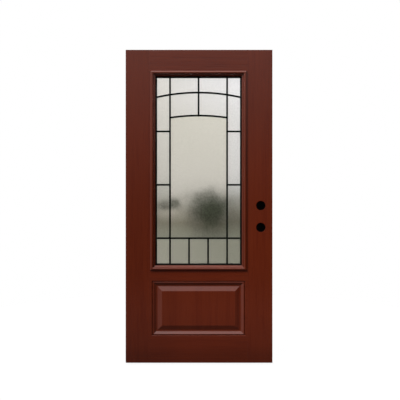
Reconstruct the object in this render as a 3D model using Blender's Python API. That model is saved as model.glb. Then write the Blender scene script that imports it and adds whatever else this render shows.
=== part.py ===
"""Entry door slab with a three-quarter leaded glass lite over one embossed panel.

Metres, +Z up. X runs from the hinge edge to the lock edge, the outside face looks towards -Y, and
Y is 0 at the middle of the slab's thickness. The origin is on the floor of the middle hinge gain.
"""

import math

import bmesh
import bpy
from mathutils import Matrix, Vector

# Slab
slab_width = 0.941
slab_height = 2.0066
slab_thickness = 0.0445
skin_thickness = 0.0022
edge_strip_depth = 0.035
touch_gap = 0.0003
cut_margin = 0.010

# Stile and rail joint lines pressed into the faces, just outside the lite frames
joint_line_width = 0.0018
joint_line_depth = 0.0006
joint_line_reveal = 0.0066

# Lite opening, its moulded frames and the glass unit
top_rail_face = 0.1354
middle_rail_face = 0.0679
lite_sight_width = 0.5546
lite_towards_hinges = 0.0032
frame_face_width = 0.0318
frame_lip_height = 0.0025
frame_outer_slope = 0.0120
frame_crown_height = 0.0120
frame_crown_width = 0.0020
frame_bead_width = 0.0065
frame_bead_drop = 0.0055
frame_fillet_width = 0.0020
frame_toe_depth = 0.0050
frame_slope_steps = 5
frame_curve_steps = 4
frame_hollow_start = 0.0045
frame_hollow_width = 0.0152
frame_hollow_roof = 0.0065
frame_hollow_height = 0.0080
frame_rib_width = 0.0040
frame_hollows_across = 4
frame_hollows_up = 8
pane_bite = 0.0080
pane_clearance = 0.0030
pane_thickness = 0.0032
glass_unit_thickness = 0.0254

# Leaded panel between the panes
came_width = 0.0115
came_leaf_thickness = 0.0012
came_heart_thickness = 0.0016
tile_thickness = 0.0030
border_came_inset = 0.0042
side_strip_width = 0.0891
crown_drop = 0.0988
band_height = 0.1481
arch_radius = 1.2190
base_row_height = 0.1683
upper_row_height = 0.2509
arch_steps = 20
strip_arch_steps = 4

# Embossed panel under the lite
panel_side_margin = 0.0160
panel_height = 0.3519
panel_bottom = 0.1733
quirk_depth = 0.0065
quirk_wall_width = 0.0030
quirk_floor_width = 0.0020
bead_rise_width = 0.0030
bead_drop = 0.0006
bead_width = 0.0030
cove_slope_width = 0.0145
cove_slope_depth = 0.0102
cove_width = 0.0225
valley_depth = 0.0120
valley_width = 0.0025
bevel_width = 0.0295
cove_steps = 6

# Lock holes
backset = 0.0748
cross_bore_diameter = 0.0600
latch_bore_height = 0.8685
bore_spacing = 0.1397
edge_bore_diameter = 0.0254
faceplate_width = 0.0286
faceplate_height = 0.0572
faceplate_depth = 0.0040
faceplate_corner = 0.0064
bore_sides = 48

# Hinge gains
gain_height = 0.1016
gain_width = 0.0300
gain_depth = 0.0025
gain_corner = 0.0159
top_gain_from_top = 0.1778
bottom_gain_from_bottom = 0.2794
corner_steps = 5

# Colour, roughness, metallic value and opacity of each material
finishes = {
    "stained_skin": ((0.155, 0.036, 0.014), 0.42, 0.0, 1.0),
    "stained_edge": ((0.120, 0.030, 0.014), 0.50, 0.0, 1.0),
    "lite_frame": ((0.165, 0.040, 0.017), 0.38, 0.0, 1.0),
    "clear_glass": ((0.90, 0.93, 0.92), 0.03, 0.0, 0.12),
    "spacer_bar": ((0.10, 0.10, 0.10), 0.45, 0.6, 1.0),
    "dark_came": ((0.020, 0.021, 0.020), 0.45, 0.8, 1.0),
    "border_glass": ((0.62, 0.61, 0.57), 0.20, 0.0, 0.85),
    "field_glass": ((0.45, 0.45, 0.38), 0.30, 0.0, 0.85),
}

# Heights and places worked out from the sizes above, measured from the slab's bottom hinge-side corner
half_thickness = slab_thickness / 2
lite_middle = slab_width / 2 - lite_towards_hinges
bottom_gain_middle = bottom_gain_from_bottom + gain_height / 2
top_gain_middle = slab_height - top_gain_from_top - gain_height / 2
middle_gain_middle = (bottom_gain_middle + top_gain_middle) / 2
gain_heights = (bottom_gain_middle, middle_gain_middle, top_gain_middle)
lock_heights = (latch_bore_height, latch_bore_height + bore_spacing)
frame_bottom = panel_bottom + panel_height + middle_rail_face
frame_top = slab_height - top_rail_face
frame_height = frame_top - frame_bottom
frame_width = lite_sight_width + 2 * frame_face_width
lite_centre_height = (frame_top + frame_bottom) / 2
lite_sight_height = frame_height - 2 * frame_face_width
between_stiles = frame_width + 2 * joint_line_reveal
panel_width = between_stiles - 2 * panel_side_margin
pane_width = lite_sight_width + 2 * pane_bite
pane_height = lite_sight_height + 2 * pane_bite
cutout_width = pane_width + 2 * pane_clearance
cutout_height = pane_height + 2 * pane_clearance
came_height = tile_thickness + 2 * touch_gap + 2 * came_leaf_thickness
border_half_width = lite_sight_width / 2 - border_came_inset
border_half_height = lite_sight_height / 2 - border_came_inset
panel_middle_height = panel_bottom + panel_height / 2
to_origin = Vector((-gain_depth, 0.0, -middle_gain_middle))


def clear_scene():
    """Remove what the scene starts with."""
    for thing in list(bpy.data.objects):
        bpy.data.objects.remove(thing, do_unlink=True)


def make_materials():
    """One Principled material for each finish."""
    made = {}
    for name, (colour, roughness, metallic, opacity) in finishes.items():
        material = bpy.data.materials.new(name)
        material.use_nodes = True
        shader = material.node_tree.nodes["Principled BSDF"]
        shader.inputs["Base Color"].default_value = (*colour, 1.0)
        shader.inputs["Roughness"].default_value = roughness
        shader.inputs["Metallic"].default_value = metallic
        shader.inputs["Alpha"].default_value = opacity
        made[name] = material
    return made


def mesh_object(name, build):
    """An object whose mesh is filled by build(bm), with its faces turned outwards."""
    bm = bmesh.new()
    build(bm)
    bmesh.ops.recalc_face_normals(bm, faces=bm.faces)
    mesh = bpy.data.meshes.new(name)
    bm.to_mesh(mesh)
    bm.free()
    thing = bpy.data.objects.new(name, mesh)
    bpy.context.scene.collection.objects.link(thing)
    return thing


def add_box(bm, low, high):
    """A box between two corners."""
    size = Vector(high) - Vector(low)
    middle = (Vector(high) + Vector(low)) / 2
    place = Matrix.Translation(middle) @ Matrix.Diagonal((*size, 1.0))
    bmesh.ops.create_cube(bm, size=1.0, matrix=place)


def add_prism(bm, outline, start, end, place):
    """Extrude a flat outline between two levels; place(u, v, level) gives each point."""
    rings = [[bm.verts.new(place(u, v, level)) for u, v in outline] for level in (start, end)]
    bm.faces.new(rings[0])
    bm.faces.new(list(reversed(rings[1])))
    count = len(outline)
    for i in range(count):
        j = (i + 1) % count
        bm.faces.new((rings[0][i], rings[1][i], rings[1][j], rings[0][j]))


def facing(u, v, level):
    """A point of an outline drawn on the door's face: level is its Y."""
    return (u, level, v)


def edgewise(u, v, level):
    """A point of an outline drawn on the door's edge: level is its X."""
    return (level, u, v)


def add_loop(bm, half_width, half_height, middle, section):
    """Run a closed section round a mitred rectangle; each of its points is (distance in, Y)."""
    rings = []
    for side_x, side_z in ((-1, -1), (1, -1), (1, 1), (-1, 1)):
        ring = []
        for inward, level in section:
            x = middle[0] + side_x * (half_width - inward)
            z = middle[1] + side_z * (half_height - inward)
            ring.append(bm.verts.new((x, level, z)))
        rings.append(ring)
    count = len(section)
    for here, there in zip(rings, rings[1:] + rings[:1]):
        for i in range(count):
            j = (i + 1) % count
            bm.faces.new((here[i], there[i], there[j], here[j]))


def rounded_outline(low_u, low_v, high_u, high_v, corner, round_high_u=True):
    """A rectangle with round corners; the two at high u stay square where round_high_u is False."""
    centres = (
        (high_u - corner, low_v + corner, -90, round_high_u),
        (high_u - corner, high_v - corner, 0, round_high_u),
        (low_u + corner, high_v - corner, 90, True),
        (low_u + corner, low_v + corner, 180, True),
    )
    squares = ((high_u, low_v), (high_u, high_v))
    outline = []
    for k, (u, v, start, is_round) in enumerate(centres):
        if not is_round:
            outline.append(squares[k])
            continue
        for step in range(corner_steps + 1):
            angle = math.radians(start + 90 * step / corner_steps)
            outline.append((u + corner * math.cos(angle), v + corner * math.sin(angle)))
    return outline


def circle(u, v, radius):
    """Points of a circle, starting half a step round so that no vertex is on an axis."""
    turn = 2 * math.pi / bore_sides
    angles = [turn * (k + 0.5) for k in range(bore_sides)]
    return [(u + radius * math.cos(a), v + radius * math.sin(a)) for a in angles]


def curve_between(start, end, steps, bulge):
    """Points of a quarter of an ellipse from start to end.

    A bulge of 1 leaves start level and reaches end upright, and -1 the other way round.
    """
    points = []
    for k in range(1, steps + 1):
        angle = math.pi / 2 * k / steps
        across, down = math.sin(angle), 1 - math.cos(angle)
        if bulge < 0:
            across, down = 1 - math.cos(angle), math.sin(angle)
        points.append((start[0] + (end[0] - start[0]) * across, start[1] + (end[1] - start[1]) * down))
    return points


def cut(target, name, build):
    """Take a solid away from the target with a Boolean, which stays on it."""
    cutter = mesh_object(name, build)
    cutter.hide_render = True
    cutter.display_type = "WIRE"
    boolean = target.modifiers.new(name, "BOOLEAN")
    boolean.operation = "DIFFERENCE"
    boolean.solver = "EXACT"
    boolean.object = cutter
    cutter.location = to_origin


def finish(thing, material):
    """Give an object its material and its place in the door's own frame."""
    thing.data.materials.append(material)
    thing.location = to_origin
    return thing


def panel_profile():
    """The panel moulding from its outer line inwards: (distance in, depth)."""
    bead_start = quirk_wall_width + quirk_floor_width + bead_rise_width
    cove_start = (bead_start + bead_width, bead_drop)
    cove_turn = (cove_start[0] + cove_slope_width, cove_slope_depth)
    cove_end = (cove_start[0] + cove_width, valley_depth)
    profile = [
        (0.0, 0.0),
        (quirk_wall_width, quirk_depth),
        (quirk_wall_width + quirk_floor_width, quirk_depth),
        (bead_start, bead_drop),
        cove_start,
        cove_turn,
    ]
    profile += curve_between(cove_turn, cove_end, cove_steps, -1)
    profile.append((cove_end[0] + valley_width, valley_depth))
    profile.append((cove_end[0] + valley_width + bevel_width, 0.0))
    return profile


def cut_panel(target, side):
    """Press the panel moulding into the face on one side, -1 outside and 1 inside."""
    profile = panel_profile()
    section = [(inward, side * (half_thickness - depth)) for inward, depth in profile]
    clear_level = side * (half_thickness + cut_margin)
    section += [(profile[-1][0], clear_level), (0.0, clear_level)]

    def build(bm):
        middle = (lite_middle, panel_middle_height)
        add_loop(bm, panel_width / 2, panel_height / 2, middle, section)

    cut(target, f"panel_cutter_{side}", build)


def cut_joint_lines(target, side):
    """Press the two joint lines between stiles and rails into one face."""
    half = joint_line_width / 2
    face = side * half_thickness
    slope = half / joint_line_depth
    reach = half + cut_margin * slope

    def build(bm):
        for x in (lite_middle - between_stiles / 2, lite_middle + between_stiles / 2):
            outline = [
                (x, face - side * joint_line_depth),
                (x + reach, face + side * cut_margin),
                (x - reach, face + side * cut_margin),
            ]
            add_prism(
                bm,
                outline,
                -cut_margin,
                slab_height + cut_margin,
                lambda u, v, level: (u, v, level),
            )

    cut(target, f"joint_line_cutter_{side}", build)


def cut_lock_holes(target):
    """Cross bores through the faces, and the edge bores that meet them."""

    def cross_bores(bm):
        level = half_thickness + cut_margin
        for z in lock_heights:
            hole = circle(slab_width - backset, z, cross_bore_diameter / 2)
            add_prism(bm, hole, -level, level, facing)

    def edge_bores(bm):
        for z in lock_heights:
            hole = circle(0.0, z, edge_bore_diameter / 2)
            add_prism(bm, hole, slab_width - backset, slab_width + cut_margin, edgewise)

    cut(target, "cross_bore_cutter", cross_bores)
    cut(target, "edge_bore_cutter", edge_bores)


def cut_hinge_gains(target, name):
    """Gains for three hinge leaves, open to the hinge edge and to the inside face."""

    def build(bm):
        for z in gain_heights:
            outline = rounded_outline(
                half_thickness - gain_width,
                z - gain_height / 2,
                half_thickness + cut_margin,
                z + gain_height / 2,
                gain_corner,
                round_high_u=False,
            )
            add_prism(bm, outline, -cut_margin, gain_depth, edgewise)

    cut(target, name, build)


def make_door_leaf(material):
    """Both moulded faces and the body between them, as one solid."""

    def slab(bm):
        add_box(bm, (0, -half_thickness, 0), (slab_width, half_thickness, slab_height))

    def cutout(bm):
        half_width, half_height = cutout_width / 2, cutout_height / 2
        level = half_thickness + cut_margin
        low = (lite_middle - half_width, -level, lite_centre_height - half_height)
        high = (lite_middle + half_width, level, lite_centre_height + half_height)
        add_box(bm, low, high)

    def edge_channel(bm):
        level = half_thickness - skin_thickness
        out = -cut_margin
        section = [(out, -level), (edge_strip_depth, -level), (edge_strip_depth, level), (out, level)]
        middle = (slab_width / 2, slab_height / 2)
        add_loop(bm, slab_width / 2, slab_height / 2, middle, section)

    leaf = mesh_object("door_leaf", slab)
    cut(leaf, "lite_cutter", cutout)
    cut(leaf, "edge_channel_cutter", edge_channel)
    for side in (-1, 1):
        cut_panel(leaf, side)
        cut_joint_lines(leaf, side)
    cut_lock_holes(leaf)
    cut_hinge_gains(leaf, "skin_gain_cutter")
    return finish(leaf, material)


def make_edge_strips(material):
    """Stiles and rails let in between the faces round the slab's edges."""
    level = half_thickness - skin_thickness - touch_gap
    deep = edge_strip_depth - touch_gap
    inner_low, inner_high = deep + touch_gap, slab_width - deep - touch_gap
    strips = {
        "hinge_stile": ((0, 0), (deep, slab_height)),
        "lock_stile": ((slab_width - deep, 0), (slab_width, slab_height)),
        "bottom_rail": ((inner_low, 0), (inner_high, deep)),
        "top_rail": ((inner_low, slab_height - deep), (inner_high, slab_height)),
    }
    made = {}
    for name, (low, high) in strips.items():
        corners = (low[0], -level, low[1]), (high[0], level, high[1])
        made[name] = mesh_object(name, lambda bm, corners=corners: add_box(bm, *corners))
        finish(made[name], material)

    def mortises(bm):
        half_width, half_height = faceplate_width / 2, faceplate_height / 2
        floor = slab_width - faceplate_depth
        for z in lock_heights:
            outline = rounded_outline(
                -half_width, z - half_height, half_width, z + half_height, faceplate_corner
            )
            add_prism(bm, outline, floor, slab_width + cut_margin, edgewise)

    cut_hinge_gains(made["hinge_stile"], "stile_gain_cutter")
    cut(made["lock_stile"], "faceplate_cutter", mortises)
    cut_lock_holes(made["lock_stile"])


def frame_profile():
    """The lite frame's section from its outer line inwards: (distance in, height over the face)."""
    crown = (frame_outer_slope, frame_crown_height)
    bead = (crown[0] + frame_crown_width, frame_crown_height)
    fillet = (bead[0] + frame_bead_width, frame_crown_height - frame_bead_drop)
    cove = (fillet[0] + frame_fillet_width, fillet[1])
    toe = (frame_face_width, -frame_toe_depth)
    glass = half_thickness - glass_unit_thickness / 2 - touch_gap
    leg = frame_face_width - pane_bite + touch_gap
    profile = [(0.0, touch_gap), (0.0, frame_lip_height)]
    rise = curve_between(crown, (0.0, frame_lip_height), frame_slope_steps, 1)
    profile += list(reversed(rise[:-1])) + [crown, bead]
    profile += curve_between(bead, fillet, frame_curve_steps, 1)
    profile.append(cove)
    profile += curve_between(cove, toe, frame_curve_steps, -1)
    profile += [(frame_face_width, -glass), (leg, -glass), (leg, touch_gap)]
    return profile


def frame_hollows():
    """The hollows under the lite frame, a rib apart: (middle x, middle z, half length, upright)."""
    inset = frame_hollow_start + frame_hollow_width / 2
    sides = (
        (frame_hollows_across, frame_width, frame_height, False),
        (frame_hollows_up, frame_height, frame_width, True),
    )
    hollows = []
    for count, span, far, upright in sides:
        pitch = (span - 2 * frame_face_width + frame_rib_width) / count
        half_length = (pitch - frame_rib_width) / 2
        for step in range(count):
            along = (step - (count - 1) / 2) * pitch
            for across in (inset - far / 2, far / 2 - inset):
                middle = (across, along) if upright else (along, across)
                hollows.append((*middle, half_length, upright))
    return hollows


def add_hollow(bm, hollow, side):
    """A block that narrows upwards, from the slab's face up into a frame."""
    middle_x, middle_z, half_length, upright = hollow
    slope = (frame_hollow_width - frame_hollow_roof) / 2 / frame_hollow_height
    rings = []
    for height in (-touch_gap, frame_hollow_height):
        half_width = frame_hollow_width / 2 - slope * height
        half_x, half_z = (half_width, half_length) if upright else (half_length, half_width)
        ring = []
        for corner_x, corner_z in ((-1, -1), (1, -1), (1, 1), (-1, 1)):
            x = lite_middle + middle_x + corner_x * half_x
            z = lite_centre_height + middle_z + corner_z * half_z
            ring.append(bm.verts.new((x, side * (half_thickness + height), z)))
        rings.append(ring)
    bm.faces.new(rings[0])
    bm.faces.new(list(reversed(rings[1])))
    for i in range(4):
        j = (i + 1) % 4
        bm.faces.new((rings[0][i], rings[1][i], rings[1][j], rings[0][j]))


def make_lite_frames(material):
    """A moulded frame on each face, over the edge of the cut-out and down to the glass."""
    for name, side in (("lite_frame_front", -1), ("lite_frame_back", 1)):
        section = [(inward, side * (half_thickness + height)) for inward, height in frame_profile()]

        def build(bm, section=section):
            middle = (lite_middle, lite_centre_height)
            add_loop(bm, frame_width / 2, frame_height / 2, middle, section)

        def build_hollows(bm, side=side):
            for hollow in frame_hollows():
                add_hollow(bm, hollow, side)

        frame = mesh_object(name, build)
        cut(frame, f"{name}_hollows", build_hollows)
        finish(frame, material)


def make_panes(material):
    """Two clear panes, one on each side of the leaded panel."""
    outer = glass_unit_thickness / 2
    inner = outer - pane_thickness
    for name, side in (("glass_pane_front", -1), ("glass_pane_back", 1)):
        levels = sorted((side * outer, side * inner))
        low = (lite_middle - pane_width / 2, levels[0], lite_centre_height - pane_height / 2)
        high = (lite_middle + pane_width / 2, levels[1], lite_centre_height + pane_height / 2)
        finish(mesh_object(name, lambda bm, low=low, high=high: add_box(bm, low, high)), material)


def make_spacer(material):
    """The bar between the panes round their edge, which the leaded panel sits in."""
    level = glass_unit_thickness / 2 - pane_thickness - touch_gap
    deep = (pane_width - lite_sight_width) / 2 + border_came_inset - came_width / 2 - touch_gap
    section = [(0.0, -level), (deep, -level), (deep, level), (0.0, level)]

    def build(bm):
        middle = (lite_middle, lite_centre_height)
        add_loop(bm, pane_width / 2, pane_height / 2, middle, section)

    finish(mesh_object("spacer_bar", build), material)


def glass_cells():
    """Each tile of the leaded panel: (left, right, bottom, top, steps), about the panel's middle.

    A bottom or top that is a pair ("arch", apex height) follows an arch of the common radius.
    """
    outer, inner = border_half_width, border_half_width - side_strip_width
    top, bottom = border_half_height, -border_half_height
    crown_apex = top - crown_drop
    crown = ("arch", crown_apex)
    lower = ("arch", crown_apex - band_height)
    base = bottom + base_row_height
    upper = crown_apex - upper_row_height
    middle = (base + upper) / 2
    cells = {
        "glass_field": (-inner, inner, base, lower, arch_steps),
        "glass_crown_left": (-inner, 0.0, crown, top, arch_steps // 2),
        "glass_crown_right": (0.0, inner, crown, top, arch_steps // 2),
        "glass_band_left": (-inner, 0.0, lower, crown, arch_steps // 2),
        "glass_band_right": (0.0, inner, lower, crown, arch_steps // 2),
    }
    rows = (
        ("bottom", bottom, base),
        ("lower", base, middle),
        ("middle", middle, upper),
        ("upper", upper, crown),
        ("top", crown, top),
    )
    for name, low, high in rows:
        cells[f"glass_left_{name}"] = (-outer, -inner, low, high, strip_arch_steps)
        cells[f"glass_right_{name}"] = (inner, outer, low, high, strip_arch_steps)
    third = 2 * inner / 3
    for k, name in enumerate(("left", "middle", "right")):
        left = -inner + k * third
        cells[f"glass_base_{name}"] = (left, left + third, bottom, base, 1)
    return cells


def cell_edge(edge, left, right, shift, steps):
    """Points along a cell's bottom or top from left to right, moved in by shift."""
    if not isinstance(edge, tuple):
        return [(left, edge + shift), (right, edge + shift)]
    centre = edge[1] - arch_radius
    radius = arch_radius + shift
    points = []
    for k in range(steps + 1):
        x = left + (right - left) * k / steps
        points.append((x, centre + math.sqrt(radius**2 - x**2)))
    return points


def cell_outline(cell, inset):
    """A cell's outline with every edge moved in by the inset, in the slab's coordinates."""
    left, right, bottom, top, steps = cell
    left, right = left + inset, right - inset
    low = cell_edge(bottom, left, right, inset, steps)
    high = cell_edge(top, left, right, -inset, steps)
    outline = low + list(reversed(high))
    return [(lite_middle + x, lite_centre_height + z) for x, z in outline]


def make_leaded_panel(came_material, border_material, field_material):
    """One lattice of H-shaped cames, and a tile of glass in each of its cells."""
    cells = glass_cells()
    half_came = came_width / 2
    half_heart = came_heart_thickness / 2
    pocket_level = tile_thickness / 2 + touch_gap
    half_width = border_half_width + half_came
    half_height = border_half_height + half_came

    def lattice(bm):
        low = (lite_middle - half_width, -came_height / 2, lite_centre_height - half_height)
        high = (lite_middle + half_width, came_height / 2, lite_centre_height + half_height)
        add_box(bm, low, high)

    def windows(bm):
        for cell in cells.values():
            outline = cell_outline(cell, half_came)
            add_prism(bm, outline, -came_height, came_height, facing)

    def pockets(bm):
        for cell in cells.values():
            outline = cell_outline(cell, half_heart)
            add_prism(bm, outline, -pocket_level, pocket_level, facing)

    cames = mesh_object("came_lattice", lattice)
    cut(cames, "window_cutter", windows)
    cut(cames, "pocket_cutter", pockets)
    finish(cames, came_material)
    for name, cell in cells.items():
        outline = cell_outline(cell, half_heart + touch_gap)

        def tile(bm, outline=outline):
            add_prism(bm, outline, -tile_thickness / 2, tile_thickness / 2, facing)

        is_border = name.startswith(("glass_left", "glass_right", "glass_base"))
        finish(mesh_object(name, tile), border_material if is_border else field_material)


def main():
    clear_scene()
    materials = make_materials()
    make_door_leaf(materials["stained_skin"])
    make_edge_strips(materials["stained_edge"])
    make_lite_frames(materials["lite_frame"])
    make_panes(materials["clear_glass"])
    make_spacer(materials["spacer_bar"])
    make_leaded_panel(materials["dark_came"], materials["border_glass"], materials["field_glass"])


main()
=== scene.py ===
"""Dress a stained door slab with a leaded glass lite, and set it up in a plain studio.

Metres, +Z up. The outside face looks towards -Y, and X runs from the hinge edge to the lock edge.
"""

import math

import bmesh
import bpy
from mathutils import Matrix, Vector


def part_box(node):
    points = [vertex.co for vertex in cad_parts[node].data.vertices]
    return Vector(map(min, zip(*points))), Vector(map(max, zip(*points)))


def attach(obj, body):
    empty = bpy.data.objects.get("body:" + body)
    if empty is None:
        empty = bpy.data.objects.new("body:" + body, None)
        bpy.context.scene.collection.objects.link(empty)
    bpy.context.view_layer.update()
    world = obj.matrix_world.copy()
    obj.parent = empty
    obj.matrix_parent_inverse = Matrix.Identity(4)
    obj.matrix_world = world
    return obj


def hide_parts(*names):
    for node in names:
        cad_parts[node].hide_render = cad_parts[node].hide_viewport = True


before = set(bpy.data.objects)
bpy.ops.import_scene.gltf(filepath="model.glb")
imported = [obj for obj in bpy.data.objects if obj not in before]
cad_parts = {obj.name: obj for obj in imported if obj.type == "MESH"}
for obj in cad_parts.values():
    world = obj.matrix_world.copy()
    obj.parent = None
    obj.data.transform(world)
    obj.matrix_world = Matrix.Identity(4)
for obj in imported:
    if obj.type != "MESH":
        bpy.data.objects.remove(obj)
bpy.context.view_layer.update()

bl_info = {
    "name": "Leaded Door Slab",
    "version": (1, 0, 0),
    "blender": (4, 5, 0),
    "location": "3D View > Sidebar > Door Slab",
    "description": "Stained skins, moulded lite frames and a leaded glass panel for a door slab",
    "category": "Object",
}

LEAF_LOW, LEAF_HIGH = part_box("door_leaf")
SLAB_FACE = LEAF_HIGH.y
FRAME_LOW, FRAME_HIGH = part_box("lite_frame_front")
PANE_LOW, PANE_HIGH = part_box("glass_pane_front")
CAME_LOW, CAME_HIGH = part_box("came_lattice")
LITE_MIDDLE = (FRAME_LOW + FRAME_HIGH) / 2
SLAB_MIDDLE = (LEAF_LOW + LEAF_HIGH) / 2
FACES = (("front", -1), ("back", 1))
SMOOTH_ANGLE = math.radians(38)
TILE_SMOOTH_ANGLE = math.radians(60)
GENTLE_TURN = math.radians(12)
MITRE_TOLERANCE = 1e-5
CUT_MARGIN = 0.01
TOUCH_GAP = 0.0003
EDGE_RIM = 0.003
EDGE_ON = 0.02
BARE_BELOW = 0.001
CORNER_STEPS = 8
CROWN_STEPS = 8
WHITE = (1.0, 1.0, 1.0)


def setting(kind, **fixed):
    """A function that makes settings of one kind from a name, a description and a default."""
    return lambda name, text, default: kind(name=name, description=text, default=default, **fixed)


length = setting(bpy.props.FloatProperty, unit="LENGTH", precision=4)
share = setting(bpy.props.FloatProperty, min=0.0, max=1.0, subtype="FACTOR")
number = setting(bpy.props.FloatProperty)
count = setting(bpy.props.IntProperty, min=1)
colour = setting(bpy.props.FloatVectorProperty, size=3, min=0.0, max=1.0, subtype="COLOR")


class SkinSettings(bpy.types.PropertyGroup):
    """Sizes of what is pressed and cut into the slab's faces."""

    edge_round: length("Edge rounding", "Radius along the slab's outer edges", 0.0011)
    skin: length("Skin thickness", "Thickness of the moulded skins", 0.0022)
    strip_depth: length("Edge strip depth", "How far the stiles and rails reach in", 0.035)
    joint_width: length("Joint line width", "Width of the line between stile and rail", 0.0018)
    joint_depth: length("Joint line depth", "Depth of the line between stile and rail", 0.0006)
    joint_reveal: length("Joint line reveal", "From the lite frame's edge to the line", 0.0066)
    cutout_clearance: length("Cut-out clearance", "From the panes' edge to the cut-out", 0.003)
    panel_margin: length("Panel side margin", "From the joint line to the panel moulding", 0.0160)
    panel_height: length("Panel height", "Height over the panel moulding", 0.3519)
    panel_bottom: length("Panel bottom", "From the slab's bottom to the panel moulding", 0.1733)
    quirk_depth: length("Quirk depth", "Depth of the groove round the panel", 0.0065)
    quirk_wall: length("Quirk wall", "Width of the groove's sloping wall", 0.003)
    quirk_floor: length("Quirk floor", "Width of the groove's floor", 0.002)
    bead_rise: length("Bead rise", "Width of the slope from the groove up to the bead", 0.003)
    bead_width: length("Bead width", "Width of the bead's flat top", 0.003)
    bead_drop: length("Bead drop", "How far the bead lies under the face", 0.0006)
    cove_slope: length("Cove slope width", "Width of the cove's straight slope", 0.0145)
    cove_slope_depth: length("Cove slope depth", "Depth where the cove starts to curve", 0.0102)
    cove_width: length("Cove width", "Width of the cove inside the bead", 0.0225)
    valley_depth: length("Valley depth", "Depth at the foot of the cove", 0.0120)
    valley_width: length("Valley width", "Width of the flat at the foot of the cove", 0.0025)
    bevel_width: length("Panel bevel", "Width of the raised panel's bevel", 0.0295)
    softening: length("Softening", "Rounding of the pressed moulding's corners", 0.0012)
    cove_steps: count("Cove steps", "Faces across the cove", 14)


class LockSettings(bpy.types.PropertyGroup):
    """Sizes of the lock holes and the hinge gains."""

    backset: length("Backset", "From the lock edge to the middle of the cross bores", 0.0748)
    cross_bore: length("Cross bore", "Diameter of the holes through the faces", 0.060)
    edge_bore: length("Edge bore", "Diameter of the holes in the lock edge", 0.0254)
    latch_height: length("Latch height", "From the slab's bottom to the latch's middle", 0.8685)
    bore_spacing: length("Bore spacing", "From the latch up to the deadbolt", 0.1397)
    bore_sides: count("Bore sides", "Sides of each round hole", 96)
    gain_height: length("Gain height", "Height of a hinge gain", 0.1016)
    gain_width: length("Gain width", "Width of a hinge gain across the edge", 0.03)
    gain_depth: length("Gain depth", "Depth of a hinge gain", 0.0025)
    gain_corner: length("Gain corner", "Radius of a hinge gain's corners", 0.0159)
    top_gain: length("Top gain", "From the slab's top to the top gain", 0.1778)
    bottom_gain: length("Bottom gain", "From the slab's bottom to the bottom gain", 0.2794)


class LiteSettings(bpy.types.PropertyGroup):
    """Section of the moulded frames round the glass."""

    bite: length("Pane bite", "How far the frame covers the panes", 0.008)
    face_width: length("Face width", "From the frame's outer edge to the glass", 0.0318)
    lip: length("Lip height", "Height of the frame's outer edge", 0.0025)
    slope: length("Outer slope", "Width of the frame's outer slope", 0.010)
    crown_width: length("Crown width", "Width of the frame's flat crown", 0.002)
    bead_width: length("Bead width", "Width of the rounded step inside the crown", 0.0065)
    bead_drop: length("Bead drop", "How far the step falls", 0.0055)
    fillet: length("Fillet", "Width of the flat between step and cove", 0.002)
    toe: length("Toe depth", "How far under the skin the frame meets the sight line", 0.005)
    softening: length("Softening", "Rounding of the section's corners", 0.0009)
    curve_steps: count("Curve steps", "Faces across each curve of the section", 12)


class LeadedSettings(bpy.types.PropertyGroup):
    """Sizes of the cames, the solder and the glass of the leaded panel."""

    came_width: length("Came width", "Width of a came's face", 0.0115)
    leaf: length("Came leaf", "Thickness of a came's leaf at its middle", 0.0012)
    leaf_edge: length("Came leaf edge", "Thickness of a came's leaf at its edge", 0.0006)
    heart: length("Came heart", "Thickness of the bar between a came's leaves", 0.0016)
    arch_radius: length("Arch radius", "Radius of the two arched cames", 1.219)
    arch_cell: length("Arch step", "Length of a came's straight steps along an arch", 0.008)
    solder_size: length("Solder size", "Radius of the solder on a joint", 0.0066)
    solder_rise: length("Solder rise", "How far the solder stands over the came", 0.0005)
    field_cell: length("Field cell", "Grid size of the large tile", 0.003)
    border_cell: length("Border cell", "Grid size of the other tiles", 0.003)
    pebble_depth: length("Pebble depth", "Depth of the large tile's granular surface", 0.00035)
    pebble_size: length("Pebble size", "Size of the grains in the large tile", 0.0065)
    reed_depth: length("Reed depth", "Depth of the border tiles' upright ripple", 0.00025)
    reed_size: length("Reed size", "Width of the border tiles' ripple", 0.009)


class FinishSettings(bpy.types.PropertyGroup):
    """Colours of the finishes."""

    stain: colour("Stain", "Colour of the stained skins", (0.100, 0.0140, 0.0038))
    stain_dark: colour("Dark stain", "Colour of the stain in the grain", (0.078, 0.0092, 0.0024))
    frame_stain: colour("Frame stain", "Colour of the stained lite frames", (0.100, 0.0140, 0.0038))
    frame_gloss: colour("Frame gloss", "Tint of what the lite frames reflect", (1.0, 0.66, 0.60))
    edge_stain: colour("Edge stain", "Colour of the stained edges", (0.105, 0.016, 0.006))
    core: colour("Body", "Colour of the body where a hole cuts it", (0.020, 0.014, 0.010))
    came: colour("Came", "Colour of the dark patina on the cames", (0.0024, 0.0040, 0.0034))
    solder: colour("Solder", "Colour of the patina on the solder", (0.0036, 0.0052, 0.0046))
    spacer: colour("Spacer", "Colour of the spacer bar", (0.060, 0.060, 0.058))
    pane: colour("Pane", "Tint of the clear panes", (0.020, 0.024, 0.022))


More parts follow.
